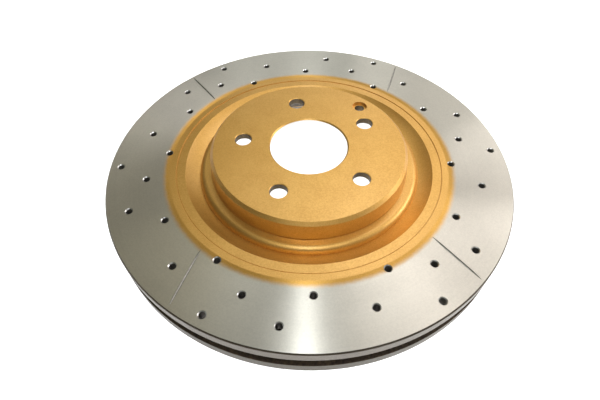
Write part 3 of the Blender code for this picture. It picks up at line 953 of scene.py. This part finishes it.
def slot_cutter(name, face, upward, finish):
    """All four slots. Along its length a slot's width is full * (1 - |2s - 1| ** sharpness), so it
    stays wide and then runs to a point; its section is half an ellipse below the face and stands
    straight above it."""
    points, faces = [], []
    share = np.linspace(0.0, 1.0, SLOT_STATIONS)
    fullness = np.maximum(1.0 - np.abs(2 * share - 1) ** SLOT_POINT_SHARPNESS, SLOT_TIP)
    swing = np.linspace(0.0, math.pi, SLOT_ARC)
    across = np.concatenate([np.cos(swing), [-1.0, 1.0]])
    down = np.concatenate([-np.sin(swing), [1.0, 1.0]])
    columns = len(across)
    for start_angle, end_angle in SLOT_ENDS:
        for half_turn in (0.0, 180.0):
            start = on_circle(SLOT_START, start_angle + half_turn)
            end = on_circle(SLOT_FINISH, end_angle + half_turn)
            along = (end - start) / np.linalg.norm(end - start)
            side = np.array([-along[1], along[0]])
            line = start + share[:, None] * (end - start)
            wide = SLOT_HALF_WIDTH * fullness[:, None] * across[None]
            flat = line[:, None] + wide[..., None] * side
            deep = np.where(down < 0, down, 1.0) * SLOT_DEPTH
            high = face + upward * deep[None] * np.where(down < 0, np.sqrt(fullness)[:, None], 1.0)
            shift = len(points) * SLOT_STATIONS * columns
            points.append(np.concatenate([flat, high[..., None]], axis=-1).reshape(-1, 3))
            walls = grid_faces(SLOT_STATIONS, columns, False, True) + shift
            first_cap = np.arange(columns)[::-1] + shift
            last_cap = np.arange(columns) + shift + (SLOT_STATIONS - 1) * columns
            faces += walls.tolist() + [first_cap.tolist(), last_cap.tolist()]
    cutter = add_piece(name, np.concatenate(points), faces, [], np.full(len(faces), finish))
    make_faces_look_out(cutter)
    return cutter


def make_faces_look_out(piece):
    """Turn a closed mesh the right way round if its volume comes out negative."""
    build = bmesh.new()
    build.from_mesh(piece.data)
    bmesh.ops.recalc_face_normals(build, faces=build.faces)
    build.to_mesh(piece.data)
    build.free()


cut(outboard, slot_cutter("outboard_slots", FACE_HEIGHT, 1.0, SLOTTED))
finish_piece(outboard, "outboard_friction_ring")

# %% Make the inboard ring
inboard_outline = rounded([
    (INBOARD_INNER_RADIUS, 0.0, SOFT_EDGE),
    (DISC_RADIUS - RIM_CHAMFER, 0.0, FINE_EDGE),
    (DISC_RADIUS, RIM_CHAMFER, SOFT_EDGE),
    (DISC_RADIUS, INBOARD_TOP, 0.5 * MM),
    (INBOARD_INNER_RADIUS, INBOARD_TOP, 0.5 * MM),
])


def inboard_finish(r, z):
    """Turned iron below, tarnish and painted shade on the rim, raw casting above and inside."""
    rim = r > DISC_RADIUS - RIM_CHAMFER + 0.05 * MM
    top = z > INBOARD_TOP - 0.3 * MM
    return np.select([top, rim, z < 0.2 * MM], [CAST, RIM, FACED], CAST)


inboard_finishes = [gold_coating, turned_seat, shaded_lower_edge, sand_cast, drilled_wall, fresh_cut]
inboard = turned("inboard_ring", inboard_outline, inboard_finishes, inboard_finish)
cut(inboard, drill_cutter("low_drill", drill_centres, low_drill, [CHAMFERED, HOLE]))
cut(inboard, slot_cutter("inboard_slots", 0.0, -1.0, CHAMFERED))
finish_piece(inboard, "inboard_friction_ring")

# %% [markdown]
# ## The cooling vanes
#
# Between the rings stand radial vanes that pump air outwards. They keep their casting skin. Every
# level of a vane is its centre line swollen by half its thickness, with a fillet where it runs
# into each ring, and a few seeded waves make each vane slightly uneven, as sand moulds do.

# %% Make the vanes
VANE_HALF = 2.5 * MM
VANE_FILLET = 1.6 * MM
VANE_LEVELS = 11
VANE_ARC = 9
VANE_SIDE = 10
VANE_WAVE = 0.16 * MM
VANE_ANGLE = 0.6

arc_turn = np.radians(np.linspace(-90.0, 90.0, VANE_ARC))
inner_end = VANE_INNER + VANE_HALF
outer_end = VANE_OUTER - VANE_HALF
side_run = np.linspace(0.0, 1.0, VANE_SIDE + 2)[1:-1]
line_x = np.concatenate([
    np.full(VANE_ARC, outer_end), outer_end + (inner_end - outer_end) * side_run,
    np.full(VANE_ARC, inner_end), inner_end + (outer_end - inner_end) * side_run,
])
level_side = np.zeros(VANE_SIDE)
full_side = np.ones(VANE_SIDE)
swell_x = np.concatenate([np.cos(arc_turn), level_side, -np.cos(arc_turn), level_side])
swell_y = np.concatenate([np.sin(arc_turn), full_side, -np.sin(arc_turn), -full_side])

level = (1 - np.cos(np.linspace(0, math.pi, VANE_LEVELS))) / 2
vane_z = INBOARD_TOP + level * (OUTBOARD_UNDERSIDE - INBOARD_TOP)
to_plate = np.minimum(vane_z - INBOARD_TOP, OUTBOARD_UNDERSIDE - vane_z)
inside_fillet = np.clip(VANE_FILLET - to_plate, 0.0, VANE_FILLET)
flare = VANE_FILLET - np.sqrt(VANE_FILLET ** 2 - inside_fillet ** 2)
print(f"vane from {VANE_INNER / MM:.1f} to {VANE_OUTER / MM:.1f} mm, flare {flare.max() / MM:.2f} mm")

# %% Place a vane for every node
around_vane = np.arange(len(line_x)) * math.tau / len(line_x)


def vane(index, node):
    """One vane: centre line + (half thickness + flare + waves) * outward direction, turned about
    the axis by its own angle."""
    draw = np.random.default_rng(100 + index)
    wave = np.zeros((VANE_LEVELS, len(line_x)))
    for count in (2, 5, 9, 14):
        phase = draw.uniform(0, math.tau)
        climb = draw.uniform(-4, 4)
        size = draw.uniform(0.3, 1.0)
        wave += size * np.sin(count * around_vane[None] + phase + climb * level[:, None])
    swell = VANE_HALF + flare[:, None] + VANE_WAVE * wave / 2
    x = line_x[None] + swell * swell_x[None]
    y = swell * swell_y[None]
    angle = math.radians(VANE_ANGLE + index * 360.0 / len(VANES))
    turned_x = x * math.cos(angle) - y * math.sin(angle)
    turned_y = x * math.sin(angle) + y * math.cos(angle)
    z = np.broadcast_to(vane_z[:, None], x.shape)
    points = np.stack([turned_x, turned_y, z], axis=-1).reshape(-1, 3)
    columns = len(line_x)
    faces = grid_faces(VANE_LEVELS, columns, False, True).tolist()
    faces.append(list(range(columns))[::-1])
    faces.append([(VANE_LEVELS - 1) * columns + corner for corner in range(columns)])
    piece = add_piece(f"vane_{index + 1:02d}", points, faces, [sand_cast])
    piece.data.shade_smooth()
    piece.data.set_sharp_from_angle(angle=math.radians(60.0))
    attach(piece, "root")
    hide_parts(node)
    return piece


vanes = [vane(index, node) for index, node in enumerate(VANES)]
print(len(vanes), "vanes of", len(vanes[0].data.polygons), "faces")
